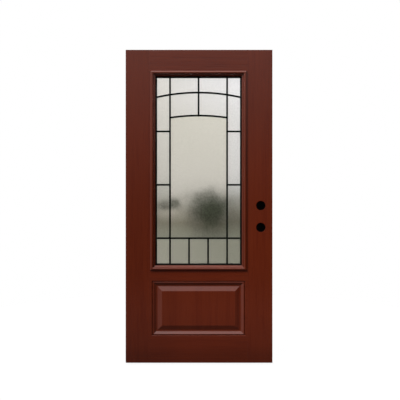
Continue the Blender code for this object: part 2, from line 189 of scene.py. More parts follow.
class StudioSettings(bpy.types.PropertyGroup):
    """The camera, the light and the floor."""

    distance: length("Camera distance", "From the camera to the slab's outside face", 3.4)
    view_span: length("View span", "Width that the picture covers at the slab's face", 2.5638)
    aim_right: length("Aim right", "How far right of the slab's middle the camera aims", 0.0061)
    aim_up: length("Aim up", "How far over the slab's middle the camera aims", 0.0404)
    sun: number("Sun", "Strength of the soft light from above", 3.15)
    sun_elevation: number("Sun elevation", "Height of the soft light in degrees", 48.0)
    sun_side: number("Sun side", "Turn of the soft light to the left in degrees", 50.0)
    sun_angle: number("Sun softness", "Spread of the soft light in degrees", 14.0)
    sky: number("Sky", "Strength of the light from straight above", 3.0)
    sky_rise: number("Sky rise", "How fast the light falls off towards the horizon", 1.3)
    side: number("Side", "Strength of the light from straight left", 0.65)
    horizon: number("Horizon", "Strength of the light from the sides and from below", 0.01)
    backlight: number("Backlight", "Strength of the white that shines through the glass", 1.36)
    floor_cover: share("Floor cover", "How much of the white behind it the floor covers", 0.06)
    floor_gap: length("Floor gap", "From the slab's bottom to the floor", 0.012)
    floor_radius: length("Floor radius", "Radius of the floor", 2.6)
    card_depth: length("Bore card depth", "How far the dark cards lie under the outside face", 0.004)


GROUPS = {
    "door_skin": SkinSettings,
    "door_lock": LockSettings,
    "door_lite": LiteSettings,
    "door_leaded": LeadedSettings,
    "door_finish": FinishSettings,
    "door_studio": StudioSettings,
}


class Value:
    """A number on a node's output; arithmetic on it adds Math nodes to its tree."""

    def __init__(self, socket):
        self.socket = socket

    def math(self, operation, *others):
        """The output of a Math node on this value and others."""
        values = dict(enumerate((self, *others)))
        return Value(add(self.socket.id_data, "ShaderNodeMath", values, operation=operation).outputs[0])

    def __add__(self, other):
        return self.math("ADD", other)

    def __sub__(self, other):
        return self.math("SUBTRACT", other)

    def __mul__(self, other):
        return self.math("MULTIPLY", other)

    def __truediv__(self, other):
        return self.math("DIVIDE", other)

    def __pow__(self, other):
        return self.math("POWER", other)

    def __neg__(self):
        return self * -1.0

    def over(self, least):
        """This value, but never under the least."""
        return self.math("MAXIMUM", least)


def link(tree, value, target):
    """Give a node's input a value or a link."""
    value = getattr(value, "socket", value)
    if isinstance(value, bpy.types.NodeSocket):
        tree.links.new(value, target)
    else:
        target.default_value = value


def add(tree, kind, values=None, **settings):
    """Add a node to a tree, with its settings and its inputs' values or links."""
    node = tree.nodes.new(kind)
    for key, value in settings.items():
        setattr(node, key, value)
    for socket, value in (values or {}).items():
        link(tree, value, node.inputs[socket])
    return node


def split(tree, place):
    """The X, Y and Z of a place."""
    parts = add(tree, "ShaderNodeSeparateXYZ", {0: place}).outputs
    return [Value(part) for part in parts]


def ramp(tree, factor, stops):
    """The colour of a ramp; stops are (place, colour or grey value)."""
    node = add(tree, "ShaderNodeValToRGB", {"Fac": factor})
    elements = node.color_ramp.elements
    while len(elements) < len(stops):
        elements.new(0.5)
    for element, (place, shade) in zip(elements, stops):
        element.position = place
        element.color = (*(shade if hasattr(shade, "__len__") else [shade] * 3), 1.0)
    return node.outputs["Color"]


def mix(tree, factor, first, second, blend="MIX"):
    """The colour between two colours, each a link or three numbers."""
    values = {0: factor}
    for socket, shade in ((6, first), (7, second)):
        values[socket] = shade if isinstance(shade, bpy.types.NodeSocket) else (*shade, 1.0)
    return add(tree, "ShaderNodeMix", values, data_type="RGBA", blend_type=blend).outputs[2]


def times(tree, first, second):
    """One colour multiplied by another."""
    return mix(tree, 1.0, first, second, "MULTIPLY")


def scaled(shade, factor):
    """A colour made darker or lighter."""
    return tuple(factor * value for value in shade)


def new_material(name, **values):
    """A material with a Principled shader; values go on its sockets, with _ for a space."""
    material = bpy.data.materials.new(name)
    material.use_nodes = True
    tree = material.node_tree
    shader = tree.nodes["Principled BSDF"]
    for key, value in values.items():
        shader.inputs[key.replace("_", " ")].default_value = value
    return material, tree, shader


def object_place(tree, scale=(1, 1, 1)):
    """Object coordinates, scaled."""
    place = add(tree, "ShaderNodeTexCoord").outputs["Object"]
    return add(tree, "ShaderNodeMapping", {"Vector": place, "Scale": scale}).outputs["Vector"]


def noise(tree, place, scale, detail=3.0, roughness=0.5, distortion=0.0):
    """The grey value of a noise texture."""
    values = {"Vector": place, "Scale": scale, "Detail": detail, "Roughness": roughness}
    values["Distortion"] = distortion
    return Value(add(tree, "ShaderNodeTexNoise", values).outputs["Fac"])


def bump(tree, shader, layers):
    """Chain bumps onto a shader; layers are (height, distance in metres, strength)."""
    normal = None
    for height, distance, strength in layers:
        values = {"Height": height, "Distance": distance, "Strength": strength}
        if normal:
            values["Normal"] = normal
        normal = add(tree, "ShaderNodeBump", values).outputs["Normal"]
    tree.links.new(normal, shader.inputs["Normal"])


GRAIN_STRETCH = 0.035
STREAK = {"scale": 170.0, "detail": 5.0, "roughness": 0.62, "distortion": 0.25}
BAND = {"scale": 26.0, "detail": 3.0, "roughness": 0.55, "distortion": 0.6}
BAND_SHARE = 0.45
GRAIN_TONES = ((0.36, 0.0), (0.52, 0.75), (0.66, 1.0))
CLOUD_SCALE = 2.6
CLOUD_TONES = ((0.3, 0.92), (0.7, 1.0))
PORE_TONES = ((0.40, 0.0), (0.50, 1.0))
BAND_RELIEF, PORE_RELIEF = (0.0006, 0.35), (0.00025, 0.5)
# Painted shade: the stain darkens towards the slab's foot, and on the lower part of the hinge side.
FOOT_HEIGHT = 0.70
FOOT_PAINTED_SHADE = ((0.07, 0.64), (0.16, 0.82), (0.45, 0.96), (1.0, 1.0))
HINGE_SIDE_SHADE = 0.16
HINGE_SIDE_HEIGHT = 1.60
HINGE_SIDE_UP = ((0.62, 1.0), (0.95, 0.0))
HINGE_SIDE_ACROSS = ((0.10, 1.0), (0.40, 0.0))


def stained_material(name, stain, dark, along, roughness=0.22, specular=0.45, gloss=WHITE):
    """Moulded skin with a wood grain pressed in and a stain, with painted shade that darkens it towards
    the foot and on the hinge side's lower part; along is the grain's axis.
    """
    material, tree, shader = new_material(
        name, Roughness=roughness, Specular_IOR_Level=specular, Specular_Tint=(*gloss, 1.0)
    )
    place = object_place(tree, [GRAIN_STRETCH if axis == along else 1.0 for axis in "XYZ"])
    streak = noise(tree, place, **STREAK)
    band = noise(tree, place, **BAND)
    cloud = noise(tree, object_place(tree), CLOUD_SCALE, 2.0)
    grain = band * BAND_SHARE + streak * (1.0 - BAND_SHARE)
    stained = mix(tree, ramp(tree, grain, GRAIN_TONES), dark, stain)
    stained = times(tree, stained, ramp(tree, cloud, CLOUD_TONES))
    x, _, z = split(tree, object_place(tree))
    raised = z - LEAF_LOW.z
    # Painted shade, darker towards the bottom.
    stained = times(tree, stained, ramp(tree, raised / FOOT_HEIGHT, FOOT_PAINTED_SHADE))
    # Painted shade on the lower part of the hinge side.
    across = Value(ramp(tree, x - LEAF_LOW.x, HINGE_SIDE_ACROSS))
    hinge_side_painted_shade = across * ramp(tree, raised / HINGE_SIDE_HEIGHT, HINGE_SIDE_UP) * HINGE_SIDE_SHADE
    stained = mix(tree, hinge_side_painted_shade, stained, (0.0, 0.0, 0.0))
    tree.links.new(stained, shader.inputs["Base Color"])
    bump(tree, shader, ((band, *BAND_RELIEF), (ramp(tree, streak, PORE_TONES), *PORE_RELIEF)))
    return material


def stained_pair(name, stain, dark, **look):
    """One stained finish as two materials, with its grain upright and level."""
    upright = stained_material(f"{name}_upright", stain, dark, "Z", **look)
    return upright, stained_material(f"{name}_level", stain, dark, "X", **look)


def mesh_object(name, build):
    """An object whose mesh is filled by build(bm), with its faces turned outwards."""
    bm = bmesh.new()
    build(bm)
    bmesh.ops.recalc_face_normals(bm, faces=bm.faces)
    mesh = bpy.data.meshes.new(name)
    bm.to_mesh(mesh)
    bm.free()
    thing = bpy.data.objects.new(name, mesh)
    bpy.context.scene.collection.objects.link(thing)
    return thing


def bake(thing):
    """Turn an object and its modifiers into a plain mesh."""
    bpy.context.view_layer.update()
    graph = bpy.context.evaluated_depsgraph_get()
    mesh = bpy.data.meshes.new_from_object(thing.evaluated_get(graph), depsgraph=graph)
    mesh.name = thing.name
    if thing.type == "MESH":
        thing.modifiers.clear()
        thing.data = mesh
        return thing
    plain = bpy.data.objects.new(thing.name, mesh)
    bpy.context.scene.collection.objects.link(plain)
    name = thing.name
    bpy.data.objects.remove(thing)
    plain.name = name
    return plain


def carve(target, name, build):
    """Take the solid made by build(bm) away from the target."""
    cutter = mesh_object(name, build)
    boolean = target.modifiers.new(name, "BOOLEAN")
    boolean.operation = "DIFFERENCE"
    boolean.solver = "EXACT"
    boolean.object = cutter
    bake(target)
    bpy.data.objects.remove(cutter)


def outward(thing):
    """Turn the faces of a baked mesh outwards."""
    bm = bmesh.new()
    bm.from_mesh(thing.data)
    bmesh.ops.recalc_face_normals(bm, faces=bm.faces)
    bm.to_mesh(thing.data)
    bm.free()


def shade_soft(thing):
    """Smooth the rounded places, and keep the flat ones flat and the mitres crisp."""
    thing.data.shade_smooth()
    thing.data.set_sharp_from_angle(angle=SMOOTH_ANGLE)
    for edge in thing.data.edges:
        start, end = (thing.data.vertices[index].co for index in edge.vertices)
        run = [abs(value) for value in end - start]
        if run[0] > MITRE_TOLERANCE and abs(run[0] - run[2]) < MITRE_TOLERANCE:
            edge.use_edge_sharp = True
    weighted = thing.modifiers.new("flat_faces_first", "WEIGHTED_NORMAL")
    weighted.keep_sharp = True
    bake(thing)


def box_solid(bm, low, high):
    """A box between two corners; returns its edges."""
    size, middle = Vector(high) - Vector(low), (Vector(high) + Vector(low)) / 2
    place = Matrix.Translation(middle) @ Matrix.Diagonal((*size, 1.0))
    made = bmesh.ops.create_cube(bm, size=1.0, matrix=place)
    return list({edge for vert in made["verts"] for edge in vert.link_edges})


def prism(bm, outline, start, end, place):
    """Extrude a flat outline between two levels; place(u, v, level) gives each point."""
    rings = [[bm.verts.new(place(u, v, level)) for u, v in outline] for level in (start, end)]
    bm.faces.new(rings[0])
    bm.faces.new(list(reversed(rings[1])))
    for i in range(len(outline)):
        j = (i + 1) % len(outline)
        bm.faces.new((rings[0][i], rings[1][i], rings[1][j], rings[0][j]))


def mitred_loop(bm, low, high, section):
    """Run a closed section of (distance in, Y) round the rectangle from low to high in X and Z."""
    rings = []
    for right, top in ((0, 0), (1, 0), (1, 1), (0, 1)):
        ring = []
        for inward, level in section:
            x = high.x - inward if right else low.x + inward
            z = high.z - inward if top else low.z + inward
            ring.append(bm.verts.new((x, level, z)))
        rings.append(ring)
    for here, there in zip(rings, rings[1:] + rings[:1]):
        for i in range(len(section)):
            j = (i + 1) % len(section)
            bm.faces.new((here[i], there[i], there[j], here[j]))


def quarter(start, end, steps, bulge):
    """A quarter ellipse from start to end; a bulge of 1 starts level, and -1 ends level."""
    points = []
    for k in range(1, steps + 1):
        angle = math.pi / 2 * k / steps
        across, down = math.sin(angle), 1 - math.cos(angle)
        if bulge < 0:
            across, down = 1 - math.cos(angle), math.sin(angle)
        points.append((start[0] + (end[0] - start[0]) * across, start[1] + (end[1] - start[1]) * down))
    return points


def soften(points, radius, steps=4):
    """Round the inner corners of an open line of points."""
    line = [Vector(point) for point in points]
    made = [line[0]]
    for before, corner, after in zip(line, line[1:], line[2:]):
        back, ahead = before - corner, after - corner
        if back.angle(-ahead) < GENTLE_TURN:
            made.append(corner)
            continue
        reach = min(radius, 0.45 * back.length, 0.45 * ahead.length)
        start, end = corner + back.normalized() * reach, corner + ahead.normalized() * reach
        for k in range(steps + 1):
            t = k / steps
            made.append(start * (1 - t) ** 2 + corner * (2 * t * (1 - t)) + end * t ** 2)
    made.append(line[-1])
    return [tuple(point) for point in made]


def dress(thing, *materials):
    """Give a piece these materials alone."""
    thing.data.materials.clear()
    for material in materials:
        thing.data.materials.append(material)


def settle(thing, slot, *nodes):
    """Attach a finished piece to the root body and hide the nodes that it stands for; the slot is not
    used.
    """
    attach(thing, "root")
    if nodes:
        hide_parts(*nodes)


def joint_places():
    """Where the joint lines between stiles and rails run, in X."""
    reveal = bpy.context.scene.door_skin.joint_reveal
    return FRAME_LOW.x - reveal, FRAME_HIGH.x + reveal


def bore_heights():
    """The heights of the latch's and the deadbolt's holes."""
    lock = bpy.context.scene.door_lock
    latch = LEAF_LOW.z + lock.latch_height
    return latch, latch + lock.bore_spacing


def panel_box():
    """The outer corners of the embossed panel's moulding."""
    skin = bpy.context.scene.door_skin
    left, right = joint_places()
    bottom = LEAF_LOW.z + skin.panel_bottom
    low = Vector((left + skin.panel_margin, 0, bottom))
    high = Vector((right - skin.panel_margin, 0, bottom + skin.panel_height))
    return low, high


def panel_section():
    """The panel moulding from its outer line inwards, as (distance in, depth)."""
    skin = bpy.context.scene.door_skin
    quirk = skin.quirk_wall + skin.quirk_floor
    bead = (quirk + skin.bead_rise, skin.bead_drop)
    cove_start = (bead[0] + skin.bead_width, skin.bead_drop)
    cove_turn = (cove_start[0] + skin.cove_slope, skin.cove_slope_depth)
    cove_end = (cove_start[0] + skin.cove_width, skin.valley_depth)
    valley_end = cove_end[0] + skin.valley_width
    wall, edge = (skin.quirk_wall, skin.quirk_depth), 2 * skin.softening
    line = [(-edge, 0.0), (0.0, 0.0), wall, (quirk, skin.quirk_depth), bead, cove_start, cove_turn]
    line += quarter(cove_turn, cove_end, skin.cove_steps, -1)
    end = valley_end + skin.bevel_width
    line += [(valley_end, skin.valley_depth), (end, 0.0), (end + edge, 0.0)]
    return soften(line, skin.softening)[1:-1]


class DOORSLAB_OT_leaf(bpy.types.Operator):
    """Make the two moulded skins and the body between them"""

    bl_idname = "doorslab.leaf"
    bl_label = "Door Leaf"

    def execute(self, context):
        skin, finish = context.scene.door_skin, context.scene.door_finish

        def slab(bm):
            edges = box_solid(bm, LEAF_LOW, LEAF_HIGH)
            bmesh.ops.bevel(
                bm, geom=edges, offset=skin.edge_round, segments=3, profile=0.5, affect="EDGES"
            )

        def cutout(bm):
            spare = Vector((skin.cutout_clearance, 0, skin.cutout_clearance))
            reach = Vector((0, SLAB_FACE + CUT_MARGIN, 0))
            low = Vector((PANE_LOW.x, 0, PANE_LOW.z)) - spare - reach
            high = Vector((PANE_HIGH.x, 0, PANE_HIGH.z)) + spare + reach
            box_solid(bm, low, high)

        def channel(bm):
            level = SLAB_FACE - skin.skin
            inner, outer = skin.strip_depth, -CUT_MARGIN
            section = [(outer, -level), (inner, -level), (inner, level), (outer, level)]
            mitred_loop(bm, LEAF_LOW, LEAF_HIGH, section)

        leaf = mesh_object("door_leaf_skins", slab)
        carve(leaf, "cutout", cutout)
        carve(leaf, "channel", channel)
        for name, side in FACES:
            carve(leaf, f"panel_{name}", lambda bm, side=side: self.panel(bm, side))
            carve(leaf, f"joints_{name}", lambda bm, side=side: self.joints(bm, side))
        carve(leaf, "cross_bores", self.cross_bores)
        carve(leaf, "edge_bores", self.edge_bores)
        carve(leaf, "hinge_gains", self.gains)
        shade_soft(leaf)
        upright, level = stained_pair("stained_skin", finish.stain, finish.stain_dark)
        body, tree, shader = new_material("cut_body", Roughness=0.9, Specular_IOR_Level=0.2)
        crumb = noise(tree, object_place(tree), 900.0, 4.0)
        shade = mix(tree, crumb, scaled(finish.core, 0.6), tuple(finish.core))
        tree.links.new(shade, shader.inputs["Base Color"])
        bump(tree, shader, ((crumb, 0.0004, 0.6),))
        dress(leaf, upright, level, body)
        settle(leaf, "stained_skin", "door_leaf")
        self.paint(leaf)
        return {"FINISHED"}

    def panel(self, bm, side):
        """The panel moulding's cutter for one face."""
        low, high = panel_box()
        line = panel_section()
        section = [(inward, side * (SLAB_FACE - depth)) for inward, depth in line]
        clear = side * (SLAB_FACE + CUT_MARGIN)
        section += [(line[-1][0], clear), (line[0][0], clear)]
        mitred_loop(bm, low, high, section)

    def joints(self, bm, side):
        """Cutters for the two joint lines of one face."""
        skin = bpy.context.scene.door_skin
        foot, clear = side * (SLAB_FACE - skin.joint_depth), side * (SLAB_FACE + CUT_MARGIN)
        reach = skin.joint_width / 2 * (1 + CUT_MARGIN / skin.joint_depth)
        ends = LEAF_LOW.z - CUT_MARGIN, LEAF_HIGH.z + CUT_MARGIN
        for x in joint_places():
            outline = [(x, foot), (x + reach, clear), (x - reach, clear)]
            prism(bm, outline, *ends, lambda u, v, level: (u, v, level))

    def ring(self, u, v, radius):
        """Points of a circle."""
        sides = bpy.context.scene.door_lock.bore_sides
        angles = [2 * math.pi * (k + 0.5) / sides for k in range(sides)]
        return [(u + radius * math.cos(a), v + radius * math.sin(a)) for a in angles]

    def cross_bores(self, bm):
        """Cutters for the holes through both faces."""
        lock = bpy.context.scene.door_lock
        reach = SLAB_FACE + CUT_MARGIN
        for z in bore_heights():
            outline = self.ring(LEAF_HIGH.x - lock.backset, z, lock.cross_bore / 2)
            prism(bm, outline, -reach, reach, lambda u, v, level: (u, level, v))

    def edge_bores(self, bm):
        """Cutters for the holes from the lock edge to the cross bores."""
        lock = bpy.context.scene.door_lock
        ends = LEAF_HIGH.x - lock.backset, LEAF_HIGH.x + CUT_MARGIN
        for z in bore_heights():
            outline = self.ring(0.0, z, lock.edge_bore / 2)
            prism(bm, outline, *ends, lambda u, v, level: (level, u, v))

    def gains(self, bm):
        """Cutters for the hinge gains, open to the hinge edge and to the inside face."""
        lock = bpy.context.scene.door_lock
        corner, half = lock.gain_corner, lock.gain_height / 2
        bottom, top = LEAF_LOW.z + lock.bottom_gain + half, LEAF_HIGH.z - lock.top_gain - half
        near, clear = SLAB_FACE - lock.gain_width, SLAB_FACE + CUT_MARGIN
        ends = LEAF_LOW.x - CUT_MARGIN, LEAF_LOW.x + lock.gain_depth
        for z in (bottom, (bottom + top) / 2, top):
            outline = [(clear, z - half), (clear, z + half)]
            for turn, sign in ((90, 1), (180, -1)):
                middle = z + sign * (half - corner)
                for k in range(CORNER_STEPS + 1):
                    angle = math.radians(turn + 90 * k / CORNER_STEPS)
                    across = near + corner + corner * math.cos(angle)
                    outline.append((across, middle + corner * math.sin(angle)))
            prism(bm, outline, *ends, lambda u, v, level: (level, u, v))

    def paint(self, leaf):
        """Lay the grain upright on stiles and panel and level on the rails, and bare the cut body."""
        skin = bpy.context.scene.door_skin
        low, high = panel_box()
        left, right = joint_places()
        groove = skin.quirk_wall + skin.quirk_floor
        reach = groove + skin.bead_rise + skin.bead_width + skin.cove_width
        bare = SLAB_FACE - skin.valley_depth - BARE_BELOW

        def within(face, first, last, rim):
            x, _, z = face.center
            return first.x + rim < x < last.x - rim and first.z + rim < z < last.z - rim

        for face in leaf.data.polygons:
            cut = abs(face.center.y) < bare or abs(face.normal.y) < EDGE_ON
            if cut and within(face, LEAF_LOW, LEAF_HIGH, EDGE_RIM):
                face.material_index = 2
                continue
            on_rail = left < face.center.x < right and not within(face, low, high, reach)
            face.material_index = 1 if on_rail else 0


class DOORSLAB_OT_edges(bpy.types.Operator):
    """Finish the stiles and rails that show at the slab's edges"""

    bl_idname = "doorslab.edges"
    bl_label = "Edge Strips"

    def execute(self, context):
        finish = context.scene.door_finish
        stain, dark = finish.edge_stain, scaled(finish.edge_stain, 0.6)
        upright, level = stained_pair("stained_edge", stain, dark, roughness=0.4)
        for name in ("hinge_stile", "lock_stile"):
            dress(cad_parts[name], upright)
        for name in ("top_rail", "bottom_rail"):
            dress(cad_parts[name], level)
        return {"FINISHED"}


class DOORSLAB_OT_lite_frames(bpy.types.Operator):
    """Make the moulded frame round the glass on each face"""

    bl_idname = "doorslab.lite_frames"
    bl_label = "Lite Frames"

    def execute(self, context):
        finish = context.scene.door_finish
        look = {"roughness": 0.20, "specular": 0.85, "gloss": finish.frame_gloss}
        stain, dark = finish.frame_stain, scaled(finish.frame_stain, 0.62)
        upright, level = stained_pair("stained_frame", stain, dark, **look)
        for name, side in FACES:
            low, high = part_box(f"lite_frame_{name}")
            rise = (-low.y if side < 0 else high.y) - SLAB_FACE
            section = [(inward, side * (SLAB_FACE + height)) for inward, height in self.section(rise)]
            piece = mesh_object(
                f"lite_frame_{name}_moulding",
                lambda bm, section=section, low=low, high=high: mitred_loop(bm, low, high, section),
            )
            shade_soft(piece)
            dress(piece, upright, level)
            settle(piece, "lite_frame", f"lite_frame_{name}")
            for face in piece.data.polygons:
                across = min(face.center.x - low.x, high.x - face.center.x)
                along = min(face.center.z - low.z, high.z - face.center.z)
                face.material_index = 1 if across > along else 0
        return {"FINISHED"}

    def section(self, rise):
        """The frame's section from its outer line inwards, as (distance in, height over the skin)."""
        lite = bpy.context.scene.door_lite
        foot = max(abs(PANE_LOW.y), abs(PANE_HIGH.y)) + TOUCH_GAP - SLAB_FACE
        leg = lite.face_width - lite.bite + TOUCH_GAP
        lip = (0.0, lite.lip)
        crown = (lite.slope, rise)
        bead = (lite.slope + lite.crown_width, rise)
        step = (bead[0] + lite.bead_width, rise - lite.bead_drop)
        fillet = (step[0] + lite.fillet, step[1])
        toe = (lite.face_width, -lite.toe)
        line = [(0.0, TOUCH_GAP), lip]
        line += list(reversed(quarter(crown, lip, lite.curve_steps, 1)[:-1]))
        line += [crown, bead]
        line += quarter(bead, step, lite.curve_steps, 1)
        line.append(fillet)
        line += quarter(fillet, toe, lite.curve_steps, -1)
        line.append((lite.face_width, foot))
        return soften(line, lite.softening) + [(leg, foot), (leg, TOUCH_GAP)]


class DOORSLAB_OT_panes(bpy.types.Operator):
    """Finish the clear panes and the spacer bar"""

    bl_idname = "doorslab.panes"
    bl_label = "Panes and Spacer"

    def execute(self, context):
        finish = context.scene.door_finish
        clear, _, _ = new_material(
            "clear_pane", Base_Color=(*finish.pane, 1.0), Roughness=0.02, Alpha=0.06, IOR=1.52
        )
        spacer, tree, shader = new_material("spacer_metal", Roughness=0.42, Metallic=0.7)
        brushed = noise(tree, object_place(tree), 400.0, 3.0)
        worn = mix(tree, brushed, tuple(finish.spacer), scaled(finish.spacer, 1.6))
        tree.links.new(worn, shader.inputs["Base Color"])
        bump(tree, shader, ((brushed, 0.0001, 0.4),))
        for name in ("glass_pane_front", "glass_pane_back"):
            dress(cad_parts[name], clear)
        dress(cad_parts["spacer_bar"], spacer)
        return {"FINISHED"}


def arch_drop(x):
    """How far an arch lies under its apex at x."""
    radius = bpy.context.scene.door_leaded.arch_radius
    return radius - math.sqrt(radius ** 2 - (x - LITE_MIDDLE.x) ** 2)


def seam(axis, first, second):
    """The middle of the came between two tiles, along X or Z."""
    return (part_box(first)[1][axis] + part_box(second)[0][axis]) / 2


def arch_apex(under, over):
    """The apex height of the arched came between two tiles."""
    low_tile, high_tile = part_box(under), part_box(over)
    top = high_tile[0].z + arch_drop(high_tile[0].x)
    nearest = min(max(LITE_MIDDLE.x, low_tile[0].x), low_tile[1].x)
    return (low_tile[1].z + arch_drop(nearest) + top) / 2


def came_lines():
    """The middle lines of all the cames: lists of (x, z), and the places where they are soldered."""
    leaded = bpy.context.scene.door_leaded
    half = leaded.came_width / 2
    left, right = CAME_LOW.x + half, CAME_HIGH.x - half
    bottom, top = CAME_LOW.z + half, CAME_HIGH.z - half
    strip_left = seam(0, "glass_left_middle", "glass_field")
    strip_right = seam(0, "glass_field", "glass_right_middle")
    middle = seam(0, "glass_crown_left", "glass_crown_right")
    base_left = seam(0, "glass_base_left", "glass_base_middle")
    base_right = seam(0, "glass_base_middle", "glass_base_right")
    bar = seam(2, "glass_base_middle", "glass_field")
    side_bars = (
        seam(2, "glass_left_lower", "glass_left_middle"),
        seam(2, "glass_left_middle", "glass_left_upper"),
    )
    upper = arch_apex("glass_band_left", "glass_crown_left")
    lower = arch_apex("glass_field", "glass_band_left")

    def arch(apex, start, end):
        """Points along an arched came."""
        steps = max(4, round((end - start) / leaded.arch_cell))
        xs = [start + (end - start) * k / steps for k in range(steps + 1)]
        return [(x, apex - arch_drop(x)) for x in xs]

    lines = [[(left, z), (right, z)] for z in (bottom, top)]
    lines += [[(x, bottom), (x, top)] for x in (left, right, strip_left, strip_right)]
    lines.append([(middle, lower), (middle, top)])
    lines += [[(x, bottom), (x, bar)] for x in (base_left, base_right)]
    lines.append([(left, bar), (right, bar)])
    lines += [arch(upper, left, right), arch(lower, strip_left, strip_right)]
    joints = [(x, z) for x in (left, strip_left, strip_right, right) for z in (bottom, bar, top)]
    joints += [(x, upper - arch_drop(x)) for x in (left, strip_left, strip_right, right)]
    joints += [(x, lower - arch_drop(x)) for x in (strip_left, strip_right)]
    joints += [(middle, top), (middle, upper), (middle, lower)]
    joints += [(x, z) for x in (base_left, base_right) for z in (bottom, bar)]
    for z in side_bars:
        lines += [[(left, z), (strip_left, z)], [(strip_right, z), (right, z)]]
        joints += [(x, z) for x in (left, strip_left, strip_right, right)]
    return lines, joints


def node_group(name, inputs):
    """A Geometry Nodes tree with one geometry in and out and the named inputs."""
    tree = bpy.data.node_groups.new(name, "GeometryNodeTree")
    face = tree.interface
    face.new_socket("Geometry", in_out="INPUT", socket_type="NodeSocketGeometry")
    face.new_socket("Geometry", in_out="OUTPUT", socket_type="NodeSocketGeometry")
    for label, kind, value in inputs:
        socket = face.new_socket(label, in_out="INPUT", socket_type=kind)
        if value is not None:
            socket.default_value = value
    return tree, add(tree, "NodeGroupInput").outputs, add(tree, "NodeGroupOutput").inputs


def close_group(tree, geometry, outlet, material):
    """End a tree with Realize Instances and Set Material."""
    real = add(tree, "GeometryNodeRealizeInstances", {"Geometry": geometry})
    painted = add(tree, "GeometryNodeSetMaterial", {"Geometry": real.outputs[0], "Material": material})
    tree.links.new(painted.outputs[0], outlet["Geometry"])


def run_group(thing, tree, values):
    """Put a tree on an object with values by input name, and bake it."""
    modifier = thing.modifiers.new(tree.name, "NODES")
    modifier.node_group = tree
    for item in tree.interface.items_tree:
        if item.in_out == "INPUT" and item.name in values:
            modifier[item.identifier] = values[item.name]
    return bake(thing)


def poly_curve(name, lines, cyclic=False):
    """A curve object with straight steps through each list of points."""
    curve = bpy.data.curves.new(name, "CURVE")
    curve.dimensions = "3D"
    for line in lines:
        spline = curve.splines.new("POLY")
        spline.points.add(len(line) - 1)
        spline.use_cyclic_u = cyclic
        for point, place in zip(spline.points, line):
            point.co = (*place, 1.0)
    thing = bpy.data.objects.new(name, curve)
    bpy.context.scene.collection.objects.link(thing)
    return thing


def patina(name, tone, roughness):
    """A dark chemical patina on soft metal."""
    material, tree, shader = new_material(name, Roughness=roughness, Specular_IOR_Level=0.06)
    place = object_place(tree)
    cloud = noise(tree, place, 60.0, 4.0, 0.6)
    fine = noise(tree, place, 700.0, 3.0)
    shade = mix(tree, cloud, scaled(tone, 0.6), scaled(tone, 1.5))
    tree.links.new(shade, shader.inputs["Base Color"])
    bump(tree, shader, ((cloud, 0.0004, 0.4), (fine, 0.0001, 0.4)))
    return material


class DOORSLAB_OT_cames(bpy.types.Operator):
    """Make the lattice of cames from its middle lines"""

    bl_idname = "doorslab.cames"
    bl_label = "Came Lattice"

    def execute(self, context):
        material = patina("came_patina", context.scene.door_finish.came, 0.5)
        lines, _ = came_lines()
        lattice = poly_curve("came_lattice_lead", [[(x, 0.0, z) for x, z in line] for line in lines])
        outline = [(level, across, 0.0) for across, level in self.outline()]
        section = poly_curve("came_section", [outline], cyclic=True)
        lattice = run_group(lattice, self.tree(), {"Section": section, "Material": material})
        bpy.data.objects.remove(section)
        outward(lattice)
        shade_soft(lattice)
        settle(lattice, "dark_came", "came_lattice")
        return {"FINISHED"}

    def outline(self):
        """The H section of a came with crowned leaves."""
        leaded = bpy.context.scene.door_leaded
        half, heart = leaded.came_width / 2, leaded.heart / 2
        top = CAME_HIGH.y
        under = top - leaded.leaf
        crown = []
        for k in range(CROWN_STEPS + 1):
            across = half * (2 * k / CROWN_STEPS - 1)
            crown.append((across, top - (leaded.leaf - leaded.leaf_edge) * (across / half) ** 4))
        upper = [(half, under), (heart, under)]
        right = upper + [(u, -v) for u, v in reversed(upper)]
        left = [(-u, -v) for u, v in right]
        return crown + right + [(-u, -v) for u, v in crown] + left

    def tree(self):
        """Sweep the section along each curve."""
        inputs = (("Section", "NodeSocketObject", None), ("Material", "NodeSocketMaterial", None))
        tree, inlet, outlet = node_group("sweep_cames", inputs)
        info = add(tree, "GeometryNodeObjectInfo", {"Object": inlet["Section"]})
        values = {"Curve": inlet["Geometry"], "Normal": (0.0, 1.0, 0.0)}
        facing = add(tree, "GeometryNodeSetCurveNormal", values, mode="FREE")
        values = {"Curve": facing.outputs[0], "Profile Curve": info.outputs["Geometry"]}
        swept = add(tree, "GeometryNodeCurveToMesh", {**values, "Fill Caps": True})
        close_group(tree, swept.outputs[0], outlet, inlet["Material"])
        return tree


